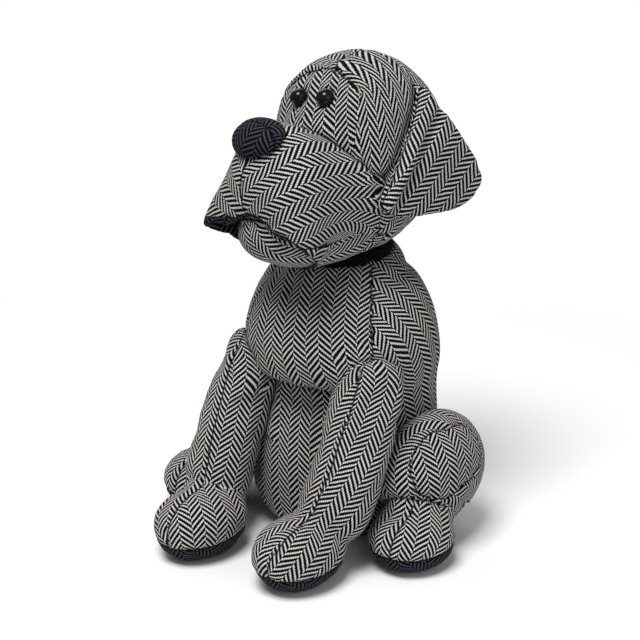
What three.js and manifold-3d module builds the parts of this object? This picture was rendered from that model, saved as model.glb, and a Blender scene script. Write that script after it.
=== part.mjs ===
// A weighted fabric door stop: a sitting dog of sewn cloth pieces, stuffed, with a bag of sand in its base.
// Millimetres, +Z up. The dog faces -Y and its left is +X. The origin is the middle of the base's underside.
import * as THREE from "three";
import { mergeVertices } from "three/addons/utils/BufferGeometryUtils.js";
import Module from "manifold-3d";

const wasm = await Module();
wasm.setup();

// Gap between two pieces that are sewn or pressed face to face.
const SEAM = 0.3;

// Base panel: the flat cloth bottom.
const BASE = { wide: 42, front: 40, back: 44, thick: 3 };

// Torso: oval sections from the base up, a pear with a chest that hangs over the belly.
// At height s a section has its middle at a sideways and b backward. It reaches wide, front and back from it.
// square is 2 for a plain oval and more for a boxier one; flare spreads a section's lower half.
const TORSO = [
  { s: BASE.thick + SEAM, a: 0, b: 0, wide: BASE.wide, front: BASE.front, back: BASE.back },
  { s: 14, a: 0, b: 0, wide: 51, front: 49, back: 53 },
  { s: 45, a: 1, b: 1, wide: 56, front: 51, back: 56 },
  { s: 78, a: 3, b: 2, wide: 54, front: 46, back: 54 },
  { s: 98, a: 4, b: 0, wide: 54, front: 43, back: 53 },
  { s: 108, a: 5, b: -2, wide: 57, front: 54, back: 54 },
  { s: 123, a: 4, b: -3, wide: 58, front: 57, back: 54 },
  { s: 140, a: 2, b: 0, wide: 54, front: 50, back: 50 },
  { s: 155, a: 0, b: 4, wide: 45.5, front: 43, back: 41 },
  { s: 167, a: -1, b: 6, wide: 34, front: 33, back: 32 },
];
const TORSO_DOME = 8;

// Sand bag in a pocket of the torso that opens at the base.
const BAG = { wide: 33, deep: 33, high: 48, dome: 12 };

// Neck: a collar of dark cloth over the top of the torso, and a narrow column from there up into the head.
const COLLAR = { low: 163, proud: 1.6 };
const NECK = { x: 2, y: 7, low: 168, high: 200, radius: 26 };

// Front legs: a sleeve from shoulder to ankle, and a paw that points forward.
const PAW = { x: 36, y: -92, wide: 25, deep: 33, high: 42 };
const SHOULDER = { x: 41, y: -33, z: 109, radius: 20.5 };
const FOREARM = { x: 44, y: -52, z: 70, radius: 21 };
const ANKLE = { out: 6, back: 24, z: 36, radius: 21.5 };

// Hind legs: a thigh beside the torso and a foot folded under it.
const THIGH = { x: 66, y: -1, z: 45, wide: 28, deep: 43, high: 35 };
const FOOT = { x: 76, y: -34, wide: 25.5, deep: 30, high: 37, turn: 8 };

// Soles: the bowl of dark cloth under each paw and foot. The lowest part of a foot is pressed flat.
const SOLE_HIGH = 12;
const PRESSED = 0.06;

// Tail: a short roll that lies behind the base.
const TAIL = { radius: 9, tip: 6, root: 46, reach: 84, low: 12, rise: 9 };

// Head: its own frame at the middle of the skull, turned and leaning to the dog's right.
// There s is forward, b is up, front is the reach above the middle and back the reach below it.
const HEAD = { x: 5, y: 8, z: 230, turn: 13, lean: 10 };
const SKULL = [
  { s: -36, b: 3, wide: 37, front: 43, back: 32, square: 2.1 },
  { s: -18, b: 1, wide: 45, front: 56, back: 50, square: 2.2 },
  { s: 0, b: 0, wide: 46, front: 57, back: 55, square: 2.4 },
  { s: 13, b: -3, wide: 46, front: 57, back: 53, square: 2.8 },
  { s: 21, b: -7, wide: 44, front: 51, back: 46, square: 3 },
  { s: 27, b: -10, wide: 39, front: 45, back: 40, square: 2.8 },
  { s: 33, b: -14, wide: 32, front: 41, back: 33, square: 2.4 },
];
const SKULL_DOMES = { back: 14, front: 6 };
const CHIN = [
  { s: 0, b: -36, wide: 34, front: 14, back: 20 },
  { s: 30, b: -38, wide: 33, front: 14, back: 22 },
  { s: 55, b: -37, wide: 31, front: 15, back: 21 },
  { s: 70, b: -35, wide: 26, front: 15, back: 17 },
];
const CHIN_DOME = 13;

// Upper lip: a dome of cloth over the snout, its ends rounded off. Its hem slants down to the jowls, lower on
// the left, and has a notch under the nose.
const LIP = [
  { s: 8, b: -14, wide: 41, front: 14, back: 38, flare: 0.1, square: 2.3 },
  { s: 24, b: -13, wide: 41, front: 21, back: 44, flare: 0.1, square: 2.2 },
  { s: 40, b: -11, wide: 40, front: 30.5, back: 48, flare: 0.12, square: 2.1 },
  { s: 56, b: -8, wide: 38, front: 35.5, back: 54, flare: 0.16, square: 2.2 },
  { s: 68, b: -8, wide: 36, front: 32, back: 64, flare: 0.3, square: 2.4 },
  { s: 78, a: -1, b: -10, wide: 32, front: 22, back: 60, flare: 0.5, square: 2.4 },
  { s: 81, a: -2, b: -12, wide: 30, front: 18, back: 58, flare: 0.62, square: 2.3 },
];
const LIP_ROUND = 6;
const LIP_THICK = 4;

// Mouth: the hollow under the upper lip, with a dark lining that reaches this deep above the hem.
const MOUTH_DEEP = 15;
const LINING_THICK = 1.4;
const HEM = { forward: 87, up: -27.5, slant: 44.5, roll: 10 };
const NOTCH = { forward: 84, up: -34, wide: 17, deep: 22, high: 12 };

// Nose and eyes: places on the snout and the brow.
const NOSE = { up: 18, wide: 20.5, high: 13.5, deep: 15, proud: 10 };
const EYE = { sideways: 11.5, up: 35.6, radius: 4.8, proud: 0.5 };

// Ears: a stuffed flap that hangs back from a roll of cloth down the side of the head.
// Its tip stands off to the side by the spread. The roll's ends are thinner than its middle by the taper.
const EAR = { thick: 7, edge: 3.4, roll: 5.5, taper: 0.15, spread: 9 };
const EAR_OUTLINE_PARTS = 14;
const EAR_OUTLINE = [
  { forward: -20, up: 32 },
  { forward: -34, up: 5 },
  { forward: -46, up: -22 },
  { forward: -36, up: -36 },
  { forward: -12, up: -39 },
  { forward: 16, up: -35 },
  { forward: 22, up: -26 },
  { forward: 4, up: -2 },
];

// The rounding of the ear flap's edge is deeper than it is thick, by this share.
const EDGE_FLATTENED = 0.7;

// A dome's rings, at these angles up from its rim. A sleeve's end is a little flatter than a half ball.
const DOME_ANGLES = [1, 2, 3].map((k) => (k * Math.PI) / 8);
const SLEEVE_END = 0.75;

const cloth = () => new THREE.MeshStandardMaterial({ color: 0x77757a, roughness: 0.95, metalness: 0 });
const darkCloth = () => new THREE.MeshStandardMaterial({ color: 0x22232b, roughness: 0.95, metalness: 0 });
const bead = () => new THREE.MeshStandardMaterial({ color: 0x08080a, roughness: 0.12, metalness: 0 });
const sacking = () => new THREE.MeshStandardMaterial({ color: 0xb9b2a2, roughness: 0.9, metalness: 0 });

// The right front leg is stuffed a little less than the left.
const sides = [
  { name: "left", sign: 1, sleeveGirth: 1 },
  { name: "right", sign: -1, sleeveGirth: 0.95 },
];

// What a station has where it doesn't say.
const PLAIN = { a: 0, b: 0, flare: 0, square: 2 };

// A station's values at s, on a smooth curve through all of them.
function sectionAt(stations, s) {
  let k = 0;
  while (k < stations.length - 2 && s > stations[k + 1].s) k += 1;
  const here = stations[k];
  const next = stations[k + 1];
  const before = stations[Math.max(k - 1, 0)];
  const after = stations[Math.min(k + 2, stations.length - 1)];
  const length = next.s - here.s;
  const t = THREE.MathUtils.clamp((s - here.s) / length, 0, 1);
  const section = { s };
  for (const key of ["a", "b", "wide", "front", "back", "flare", "square"]) {
    const [v0, v1, v2, v3] = [before, here, next, after].map((station) => station[key] ?? PLAIN[key]);
    const startSlope = ((v2 - v0) / (next.s - before.s)) * length;
    const endSlope = ((v3 - v1) / (after.s - here.s)) * length;
    section[key] =
      (2 * t ** 3 - 3 * t ** 2 + 1) * v1 +
      (t ** 3 - 2 * t ** 2 + t) * startSlope +
      (-2 * t ** 3 + 3 * t ** 2) * v2 +
      (t ** 3 - t ** 2) * endSlope;
  }
  return section;
}

// A closed skin over rings of points, with one point at each end.
function skin(rings, startPole, endPole) {
  const around = rings[0].length;
  const at = (ring, k) => 1 + ring * around + (k % around);
  const endIndex = 1 + rings.length * around;
  const index = [];
  for (let k = 0; k < around; k += 1) {
    index.push(0, at(0, k + 1), at(0, k));
    index.push(endIndex, at(rings.length - 1, k), at(rings.length - 1, k + 1));
    for (let ring = 0; ring < rings.length - 1; ring += 1) {
      index.push(at(ring, k), at(ring, k + 1), at(ring + 1, k + 1));
      index.push(at(ring, k), at(ring + 1, k + 1), at(ring + 1, k));
    }
  }
  const points = [startPole, ...rings.flat(), endPole];
  const geometry = new THREE.BufferGeometry();
  geometry.setAttribute("position", new THREE.Float32BufferAttribute(points.flatMap((p) => p.toArray()), 3));
  geometry.setIndex(index);
  return geometry;
}

// Sine or cosine of a boxy oval.
const rounded = (value, square) => Math.sign(value) * Math.abs(value) ** (2 / square);

// A stuffed form over oval stations, along +Z or forward along -Y. An end is flat, or domed by a length.
function stuffed(stations, options = {}) {
  const { around = 32, rings = 18, startDome = 0, endDome = 0, grow = 0, forward = false } = options;
  const low = stations[0].s;
  const high = stations.at(-1).s;
  const place = (a, b, s) => (forward ? new THREE.Vector3(a, -s, b) : new THREE.Vector3(a, b, s));
  const ringOf = (section, shrink, s) =>
    Array.from({ length: around }, (_, k) => {
      const angle = (2 * Math.PI * k) / around;
      const across = rounded(Math.cos(angle), section.square);
      const over = rounded(Math.sin(angle), section.square);
      const deep = over > 0 === forward ? section.front : section.back;
      const spread = 1 - section.flare * over;
      return place(
        section.a + (section.wide + grow) * shrink * across * spread,
        section.b + (deep + grow) * shrink * over,
        s,
      );
    });
  const made = [];
  for (const angle of startDome ? DOME_ANGLES.toReversed() : []) {
    made.push(ringOf(sectionAt(stations, low), Math.cos(angle), low - (startDome + grow) * Math.sin(angle)));
  }
  const first = startDome ? low : low - grow;
  const last = endDome ? high : high + grow;
  for (let k = 0; k <= rings; k += 1) {
    const s = THREE.MathUtils.lerp(low, high, k / rings);
    made.push(ringOf(sectionAt(stations, s), 1, k === 0 ? first : k === rings ? last : s));
  }
  for (const angle of endDome ? DOME_ANGLES : []) {
    made.push(ringOf(sectionAt(stations, high), Math.cos(angle), high + (endDome + grow) * Math.sin(angle)));
  }
  const start = place(stations[0].a ?? 0, stations[0].b, low - startDome - grow);
  const end = place(stations.at(-1).a ?? 0, stations.at(-1).b, high + endDome + grow);
  return skin(made, start, end);
}

// How far a form reaches to the side at the station s, at the height up.
function sideReach(stations, s, up) {
  const section = sectionAt(stations, s);
  const deep = up > section.b ? section.front : section.back;
  const over = Math.min(Math.abs(up - section.b) / deep, 1);
  return section.wide * (1 - over ** section.square) ** (1 / section.square);
}

// How far forward a form reaches at the given side and height, from its widest station on.
function frontReach(stations, side, up) {
  let inside = 0;
  let outside = stations.at(-1).s;
  for (let step = 0; step < 30; step += 1) {
    const middle = (inside + outside) / 2;
    if (sideReach(stations, middle, up) > Math.abs(side)) inside = middle;
    else outside = middle;
  }
  return inside;
}

// A stuffed sleeve through points with a radius each, with a dome at both ends.
function sleeve(points, { around = 18, steps = 7, grow = 0 } = {}) {
  const path = new THREE.CatmullRomCurve3(points.map((p) => new THREE.Vector3(p.x, p.y, p.z)));
  const radii = new THREE.CatmullRomCurve3(points.map((p) => new THREE.Vector3(p.radius + grow, 0, 0)));
  const sideways = new THREE.Vector3(1, 0, 0);
  const ringAt = (t, radius, shift) => {
    const along = path.getTangent(t);
    const over = along.clone().cross(sideways).normalize();
    const across = over.clone().cross(along);
    const centre = path.getPoint(t).addScaledVector(along, shift);
    return Array.from({ length: around }, (_, k) => {
      const angle = (2 * Math.PI * k) / around;
      const outward = across.clone().multiplyScalar(Math.cos(angle)).addScaledVector(over, Math.sin(angle));
      return centre.clone().addScaledVector(outward, -radius);
    });
  };
  const startRadius = radii.getPoint(0).x;
  const endRadius = radii.getPoint(1).x;
  const startLong = SLEEVE_END * startRadius;
  const endLong = SLEEVE_END * endRadius;
  const startDome = DOME_ANGLES.toReversed();
  const rings = [
    ...startDome.map((angle) => ringAt(0, startRadius * Math.cos(angle), -startLong * Math.sin(angle))),
    ...Array.from({ length: steps + 1 }, (_, k) => ringAt(k / steps, radii.getPoint(k / steps).x, 0)),
    ...DOME_ANGLES.map((angle) => ringAt(1, endRadius * Math.cos(angle), endLong * Math.sin(angle))),
  ];
  const start = path.getPoint(0).addScaledVector(path.getTangent(0), -startLong);
  const end = path.getPoint(1).addScaledVector(path.getTangent(1), endLong);
  return skin(rings, start, end);
}

// An ellipsoid of three half sizes around a point.
function ball(centre, wide, deep, high, { turn = 0, around = 20, tall = 12 } = {}) {
  const geometry = new THREE.SphereGeometry(1, around, tall);
  geometry.rotateX(Math.PI / 2);
  geometry.scale(wide, deep, high);
  geometry.rotateZ(THREE.MathUtils.degToRad(turn));
  geometry.translate(centre.x, centre.y, centre.z);
  return geometry;
}

// A closed geometry as a solid that can be joined and cut.
function solidOf(geometry) {
  const bare = geometry.clone();
  for (const name of ["normal", "uv"]) bare.deleteAttribute(name);
  const merged = mergeVertices(bare, 1e-3);
  return new wasm.Manifold(
    new wasm.Mesh({
      numProp: 3,
      vertProperties: merged.attributes.position.array,
      triVerts: new Uint32Array(merged.index.array),
    }),
  );
}

// The geometry of a solid's largest body.
function geometryOf(solid) {
  const largest = solid.decompose().sort((p, q) => q.volume() - p.volume())[0];
  const made = largest.getMesh();
  const geometry = new THREE.BufferGeometry();
  geometry.setAttribute("position", new THREE.BufferAttribute(Float32Array.from(made.vertProperties), 3));
  geometry.setIndex(new THREE.BufferAttribute(Uint32Array.from(made.triVerts), 1));
  geometry.computeVertexNormals();
  return geometry;
}

// A block of space, wide enough to hold the whole dog, between two heights.
const ROOM = 800;
function layer(low, high) {
  const geometry = new THREE.BoxGeometry(ROOM, ROOM, high - low);
  geometry.translate(0, 0, (low + high) / 2);
  return solidOf(geometry);
}

function piece(parent, name, solid, material) {
  const mesh = new THREE.Mesh(geometryOf(solid), material);
  mesh.name = name;
  parent.add(mesh);
}

const torsoForm = (grow) => solidOf(stuffed(TORSO, { around: 30, rings: 16, endDome: TORSO_DOME, grow }));

function bagForm(grow) {
  const section = { a: 0, b: 0, wide: BAG.wide, front: BAG.deep, back: BAG.deep };
  const stations = [
    { s: BASE.thick + SEAM, ...section },
    { s: BAG.high - BAG.dome, ...section },
  ];
  return solidOf(stuffed(stations, { around: 24, rings: 2, endDome: BAG.dome, grow }));
}

function basePanel() {
  const section = { b: 0, wide: BASE.wide, front: BASE.front, back: BASE.back };
  const stations = [
    { s: 0, ...section },
    { s: BASE.thick, ...section },
  ];
  return solidOf(stuffed(stations, { around: 36, rings: 1 }));
}

function neckForm() {
  const section = { a: NECK.x, b: NECK.y, wide: NECK.radius, front: NECK.radius, back: NECK.radius };
  const stations = [
    { s: NECK.low, ...section },
    { s: NECK.high, ...section },
  ];
  const collar = torsoForm(COLLAR.proud).intersect(layer(COLLAR.low, NECK.high));
  return solidOf(stuffed(stations, { around: 20, rings: 1 })).add(collar);
}

// Legs, from the floor up. The dog's right leg is the left one mirrored.
const belowSole = layer(-ROOM / 4, SOLE_HIGH + SEAM);
const soleLayer = layer(0, SOLE_HIGH);
const aboveFloor = layer(0, ROOM / 2);

function frontLeg({ sign, sleeveGirth }, grow) {
  const ankle = { x: PAW.x + ANKLE.out, y: PAW.y + ANKLE.back, z: ANKLE.z, radius: ANKLE.radius };
  const points = [SHOULDER, FOREARM, ankle].map((p) => ({
    ...p,
    x: sign * p.x + sectionAt(TORSO, p.z).a,
    radius: sleeveGirth * p.radius,
  }));
  const paw = { x: sign * PAW.x, y: PAW.y, z: (0.5 - PRESSED) * PAW.high };
  return solidOf(sleeve(points, { grow }))
    .add(solidOf(ball(paw, PAW.wide + grow, PAW.deep + grow, PAW.high / 2 + grow)))
    .intersect(aboveFloor);
}

function hindLeg(sign) {
  const thigh = { x: sign * THIGH.x + sectionAt(TORSO, THIGH.z).a, y: THIGH.y, z: THIGH.z };
  const foot = { x: sign * FOOT.x, y: FOOT.y, z: (0.5 - PRESSED) * FOOT.high };
  return solidOf(ball(thigh, THIGH.wide, THIGH.deep, THIGH.high, { around: 20, tall: 12 }))
    .add(solidOf(ball(foot, FOOT.wide, FOOT.deep, FOOT.high / 2, { turn: sign * FOOT.turn })))
    .intersect(aboveFloor);
}

function tailForm() {
  const points = [
    { x: 0, y: TAIL.root, z: TAIL.low, radius: TAIL.radius },
    { x: 0, y: (TAIL.root + TAIL.reach) / 2, z: TAIL.low, radius: TAIL.radius },
    { x: 0, y: TAIL.reach, z: TAIL.low + TAIL.rise, radius: TAIL.tip },
  ];
  return solidOf(sleeve(points, { around: 18, steps: 6 }));
}

// Head forms, in the head's own frame.
const skullForm = (grow) =>
  solidOf(
    stuffed(SKULL, {
      around: 28,
      rings: 12,
      startDome: SKULL_DOMES.back,
      endDome: SKULL_DOMES.front,
      forward: true,
      grow,
    }),
  );
const chinShape = { around: 20, rings: 6, endDome: CHIN_DOME, forward: true };
const chinForm = (grow) => solidOf(stuffed(CHIN, { ...chinShape, grow }));
const lipShape = { around: 26, rings: 11, startDome: LIP_ROUND, endDome: LIP_ROUND, forward: true };
const lipForm = (grow) => solidOf(stuffed(LIP, { ...lipShape, grow }));
const mouthForm = (grow) => lipForm(grow - LIP_THICK).intersect(belowHem(-MOUTH_DEEP - grow));

// Everything in front of and below the hem of the upper lip, with its notch, or below a line off the hem.
function belowHem(outward) {
  const geometry = new THREE.BoxGeometry(ROOM, ROOM, ROOM);
  geometry.translate(0, 0, -ROOM / 2 - outward);
  geometry.rotateX(-THREE.MathUtils.degToRad(HEM.slant));
  geometry.rotateY(THREE.MathUtils.degToRad(HEM.roll));
  geometry.translate(0, -HEM.forward, HEM.up);
  const notch = ball({ x: 0, y: -NOTCH.forward, z: NOTCH.up }, NOTCH.wide, NOTCH.deep, NOTCH.high);
  return outward === 0 ? solidOf(geometry).add(solidOf(notch)) : solidOf(geometry);
}

function noseForm() {
  const front = frontReach(LIP, 0, NOSE.up) + NOSE.proud;
  return solidOf(ball({ x: 0, y: NOSE.deep - front, z: NOSE.up }, NOSE.wide, NOSE.deep, NOSE.high));
}

function eyeForm(sign, grow) {
  const radius = EYE.radius + grow;
  const forward = frontReach(SKULL, EYE.sideways, EYE.up) + EYE.proud;
  const centre = { x: sign * EYE.sideways, y: -forward, z: EYE.up };
  return solidOf(ball(centre, radius, radius, radius, { around: 12, tall: 8 }));
}

// The ear's roll of cloth runs down the side of the skull, from the outline's first point to its last.
const rollTop = EAR_OUTLINE[0];
const rollFoot = EAR_OUTLINE.at(-2);
const rollMiddle = EAR_OUTLINE.at(-1);

// Where the ear hangs at a height: out from the skull's side, or straight down below its widest place.
function earSide(up) {
  const t = THREE.MathUtils.clamp((rollTop.up - up) / (rollTop.up - rollFoot.up), 0, 1);
  const forward = THREE.MathUtils.lerp(rollTop.forward, rollFoot.forward, t);
  return sideReach(SKULL, forward, Math.max(up, rollMiddle.up)) + EAR.thick / 2;
}

function earFlap() {
  const outline = new THREE.SplineCurve(EAR_OUTLINE.map((p) => new THREE.Vector2(-p.forward, p.up)));
  const shape = new THREE.Shape(outline.getPoints(EAR_OUTLINE_PARTS));
  const edgeThick = EDGE_FLATTENED * EAR.edge;
  const geometry = new THREE.ExtrudeGeometry(shape, {
    depth: EAR.thick - 2 * edgeThick,
    bevelThickness: edgeThick,
    bevelSize: EAR.edge,
    bevelOffset: -EAR.edge,
    bevelSegments: 2,
    steps: 1,
  });
  geometry.translate(0, 0, edgeThick - EAR.thick / 2);
  // (back, up, out) becomes (out, back, up).
  geometry.applyMatrix4(new THREE.Matrix4().set(0, 0, 1, 0, 1, 0, 0, 0, 0, 1, 0, 0, 0, 0, 0, 1));
  const position = geometry.attributes.position;
  const span = rollFoot.forward - EAR_OUTLINE[2].forward;
  for (let k = 0; k < position.count; k += 1) {
    const back = (rollFoot.forward + position.getY(k)) / span;
    position.setX(k, position.getX(k) + earSide(position.getZ(k)) + EAR.spread * back ** 2);
  }
  return solidOf(geometry);
}

function earRoll() {
  const points = [rollTop, rollMiddle, rollFoot].map((p, k) => ({
    x: earSide(p.up),
    y: -p.forward,
    z: p.up,
    radius: EAR.roll * (1 - EAR.taper * Math.abs(k - 1)),
  }));
  return solidOf(sleeve(points, { around: 12, steps: 7 }));
}

// The solid with left and right changed over.
function mirrored(solid) {
  const made = solid.getMesh();
  const turned = made.triVerts.map((_, k, all) => all[k - (k % 3) + 2 - (k % 3)]);
  const flippedPoints = made.vertProperties.map((value, k) => (k % 3 === 0 ? -value : value));
  return new wasm.Manifold(new wasm.Mesh({ numProp: 3, vertProperties: flippedPoints, triVerts: turned }));
}

// The solid as it lies when its frame is carried over by a matrix.
function carried(solid, matrix) {
  const geometry = geometryOf(solid);
  geometry.applyMatrix4(matrix);
  return solidOf(geometry);
}

const dog = new THREE.Group();
const head = new THREE.Group();
head.position.set(HEAD.x, HEAD.y, HEAD.z);
head.rotation.set(0, -THREE.MathUtils.degToRad(HEAD.lean), -THREE.MathUtils.degToRad(HEAD.turn), "ZXY");
dog.add(head);
dog.updateMatrixWorld(true);

const inHead = (solid) => carried(solid, head.matrixWorld.clone().invert());
const fromHead = (solid) => carried(solid, head.matrixWorld);
const cut = (solid, ...rooms) => rooms.reduce((left, room) => left.subtract(room), solid);

const torsoRoom = torsoForm(SEAM);
const skullRoom = skullForm(SEAM);
const lipRoom = lipForm(SEAM);
const chinRoom = chinForm(SEAM);

// Body
piece(dog, "base_panel", basePanel(), cloth());
piece(dog, "weight_bag", bagForm(0), sacking());
piece(dog, "torso", cut(torsoForm(0), bagForm(SEAM)), cloth());
piece(dog, "tail", cut(tailForm(), torsoRoom), cloth());
const headRooms = [skullRoom, lipRoom, chinRoom].map(fromHead);
piece(dog, "neck_band", cut(neckForm(), torsoRoom, ...headRooms), darkCloth());

// Legs
for (const side of sides) {
  const { name, sign } = side;
  const front = cut(frontLeg(side, 0), torsoRoom);
  const hind = cut(hindLeg(sign), torsoRoom, frontLeg(side, SEAM));
  piece(dog, `${name}_front_leg`, cut(front, belowSole), cloth());
  piece(dog, `${name}_front_sole`, front.intersect(soleLayer), darkCloth());
  piece(dog, `${name}_hind_leg`, cut(hind, belowSole), cloth());
  piece(dog, `${name}_hind_sole`, hind.intersect(soleLayer), darkCloth());
}

// Head
const chestRoom = inHead(torsoRoom);
const eyeRooms = sides.map(({ sign }) => eyeForm(sign, SEAM));
const lining = cut(mouthForm(-SEAM), mouthForm(-SEAM - LINING_THICK), belowHem(0), chinRoom);
piece(head, "head", cut(cut(skullForm(0), lipRoom, ...eyeRooms).add(chinForm(0)), chestRoom), cloth());
piece(head, "jowl_lining", lining, darkCloth());
piece(head, "muzzle", cut(lipForm(0), belowHem(0), mouthForm(0), chinRoom, chestRoom), cloth());
piece(head, "nose", cut(noseForm(), lipRoom), darkCloth());
for (const { name, sign } of sides) {
  const ear = cut(earFlap().add(earRoll()), skullRoom, lipRoom);
  piece(head, `${name}_ear`, sign > 0 ? ear : mirrored(ear), cloth());
  piece(head, `${name}_eye`, eyeForm(sign, 0), bead());
}

export default dog;
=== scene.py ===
"""A weighted fabric door stop in the form of a sitting dog, sewn from herringbone cloth and stuffed.

Metres, +Z up. The dog faces -Y and its left is +X. Sizes and places named below are in millimetres, and
angles in degrees, unless a comment says otherwise.
"""

import math

import bmesh
import bpy
import numpy as np
from mathutils import Matrix, Vector, noise
from mathutils.bvhtree import BVHTree
from mathutils.kdtree import KDTree

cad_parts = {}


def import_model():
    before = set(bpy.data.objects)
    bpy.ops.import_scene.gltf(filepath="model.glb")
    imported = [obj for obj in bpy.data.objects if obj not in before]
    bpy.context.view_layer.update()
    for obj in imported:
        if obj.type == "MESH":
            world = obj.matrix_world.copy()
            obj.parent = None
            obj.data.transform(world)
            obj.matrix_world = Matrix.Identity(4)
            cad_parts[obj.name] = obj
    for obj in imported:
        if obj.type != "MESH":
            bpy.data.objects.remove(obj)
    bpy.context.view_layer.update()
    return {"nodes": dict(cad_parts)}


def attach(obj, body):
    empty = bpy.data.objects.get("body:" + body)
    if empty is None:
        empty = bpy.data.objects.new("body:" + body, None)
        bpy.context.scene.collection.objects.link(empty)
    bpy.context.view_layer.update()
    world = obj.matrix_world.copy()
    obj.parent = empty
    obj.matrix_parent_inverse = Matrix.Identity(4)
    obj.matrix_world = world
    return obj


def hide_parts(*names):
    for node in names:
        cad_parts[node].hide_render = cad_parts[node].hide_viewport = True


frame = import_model()

MM = 0.001
SIDES = (("left", 1), ("right", -1))

# View: the camera looks at a point of the dog from its left front, a little above.
CAMERA = {"azimuth": 35, "elevation": 20, "distance": 1200, "target": (26, -57, 148), "lens": 118.125}

# Head frame: the middle of the skull, turned and leaning to the dog's right.
HEAD = {"place": (5, 8, 230), "turn": -13, "lean": -10}
HEAD_TURN = Matrix.Rotation(math.radians(HEAD["turn"]), 3, "Z")
HEAD_LEAN = Matrix.Rotation(math.radians(HEAD["lean"]), 3, "Y")
HEAD_AXES = np.array(HEAD_TURN @ HEAD_LEAN)

# Skins: the size of a remesh's quads, and how often it is smoothed.
SKIN = {
    "torso": (4.1, 5),
    "leg": (3.5, 4),
    "tail": (3.0, 4),
    "head": (3.5, 4),
    "muzzle": (2.4, 3),
    "nose": (2.0, 3),
    "ear": (2.5, 3),
    "base": (1.5, 2),
    "bag": (3.0, 3),
}


def in_head(points):
    """Points in the head's frame, in millimetres: side, forward and up."""
    local = (points - np.array(HEAD["place"])) @ HEAD_AXES
    return local * np.array([1, -1, 1])


def head_direction(side, forward, up):
    return HEAD_AXES @ np.array([side, -forward, up])


def head_point(side, forward, up):
    return head_direction(side, forward, up) + np.array(HEAD["place"])


def mirrored(vector, sign):
    return (sign * vector[0], vector[1], vector[2])


# Meshes


def vectors_of(mesh, name):
    flat = np.empty(len(mesh.vertices) * 3)
    mesh.vertices.foreach_get(name, flat)
    return flat.reshape(-1, 3)


def points_of(mesh):
    return vectors_of(mesh, "co") / MM


def normals_of(mesh):
    return vectors_of(mesh, "normal")


def set_points(mesh, points):
    mesh.vertices.foreach_set("co", (points * MM).ravel())
    mesh.update()


def panel_numbers(mesh):
    """The number of each face's panel, as cut_panels wrote it."""
    numbers = np.empty(len(mesh.polygons), int)
    mesh.attributes["panel"].data.foreach_get("value", numbers)
    return numbers


def new_object(name, mesh):
    made = bpy.data.objects.new(name, mesh)
    bpy.context.scene.collection.objects.link(made)
    return made


def applied(obj):
    """The object with its modifiers made part of its mesh."""
    graph = bpy.context.evaluated_depsgraph_get()
    shown = obj.evaluated_get(graph)
    mesh = bpy.data.meshes.new_from_object(shown, preserve_all_data_layers=True, depsgraph=graph)
    obj.modifiers.clear()
    obj.data = mesh
    return obj


def joined_nodes(name, nodes):
    joined = bmesh.new()
    for node in nodes:
        joined.from_mesh(frame["nodes"][node].data)
    mesh = bpy.data.meshes.new(name)
    joined.to_mesh(mesh)
    joined.free()
    return new_object(name, mesh)


def remeshed(name, nodes, voxel, smooth):
    """A smooth skin of even quads round some CAD nodes."""
    obj = joined_nodes(name, nodes)
    remesh = obj.modifiers.new("remesh", "REMESH")
    remesh.mode = "VOXEL"
    remesh.voxel_size = voxel * MM
    soften = obj.modifiers.new("soften", "SMOOTH")
    soften.factor = 0.5
    soften.iterations = smooth
    return applied(obj)


def relax(mesh, place, size, times):
    """Evens out the skin near a place, where the remesh left a spike."""
    pull = 0.6
    points = points_of(mesh)
    ends = np.array([list(edge.vertices) for edge in mesh.edges])
    share = np.exp(-((np.linalg.norm(points - place, axis=1) / size) ** 2))[:, None]
    count = np.bincount(ends.ravel(), minlength=len(points))[:, None]
    for _ in range(times):
        total = np.zeros_like(points)
        np.add.at(total, ends[:, 0], points[ends[:, 1]])
        np.add.at(total, ends[:, 1], points[ends[:, 0]])
        points = points + pull * share * (total / count - points)
    set_points(mesh, points)


def subdivided(obj, levels):
    modifier = obj.modifiers.new("finer", "SUBSURF")
    modifier.levels = levels
    modifier.render_levels = levels
    return applied(obj)


def tree_of(points, mesh):
    return BVHTree.FromPolygons(list(points), [list(p.vertices) for p in mesh.polygons])


def noise_at(points, size, seed):
    """Smooth noise between about -1 and 1, with features of a size."""
    shift = Vector((seed * 7.3, seed * 3.1, seed * 5.7))
    return np.array([noise.noise(Vector(p) / size + shift) for p in points])


# Panels. A field is zero where a panel ends. A panel's label holds a 1 for each field that is positive there.

SLIDES = 3
FURTHEST = 2.2
PROBE = 0.5
LEAST_SLOPE = 0.04


def onto_zero(points, normals, field):
    """Points slid over the surface towards a field's zero line."""
    value = field(points)
    slope = np.stack([field(points + step) - value for step in np.eye(3) * PROBE], 1) / PROBE
    slope -= normals * (slope * normals).sum(1)[:, None]
    size = (slope * slope).sum(1)[:, None]
    move = -value[:, None] * slope / np.maximum(size, LEAST_SLOPE)
    reach = np.linalg.norm(move, axis=1)[:, None]
    return points + move * np.minimum(1, FURTHEST / np.maximum(reach, 1e-6))


def mark_seams(mesh, labels):
    """Makes a seam of each edge between faces with unlike labels."""
    edge_faces = {}
    for index, polygon in enumerate(mesh.polygons):
        for key in polygon.edge_keys:
            edge_faces.setdefault(key, []).append(index)
    for edge in mesh.edges:
        near = edge_faces[edge.key]
        edge.use_seam = len(near) == 2 and labels[near[0]] != labels[near[1]]


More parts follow.
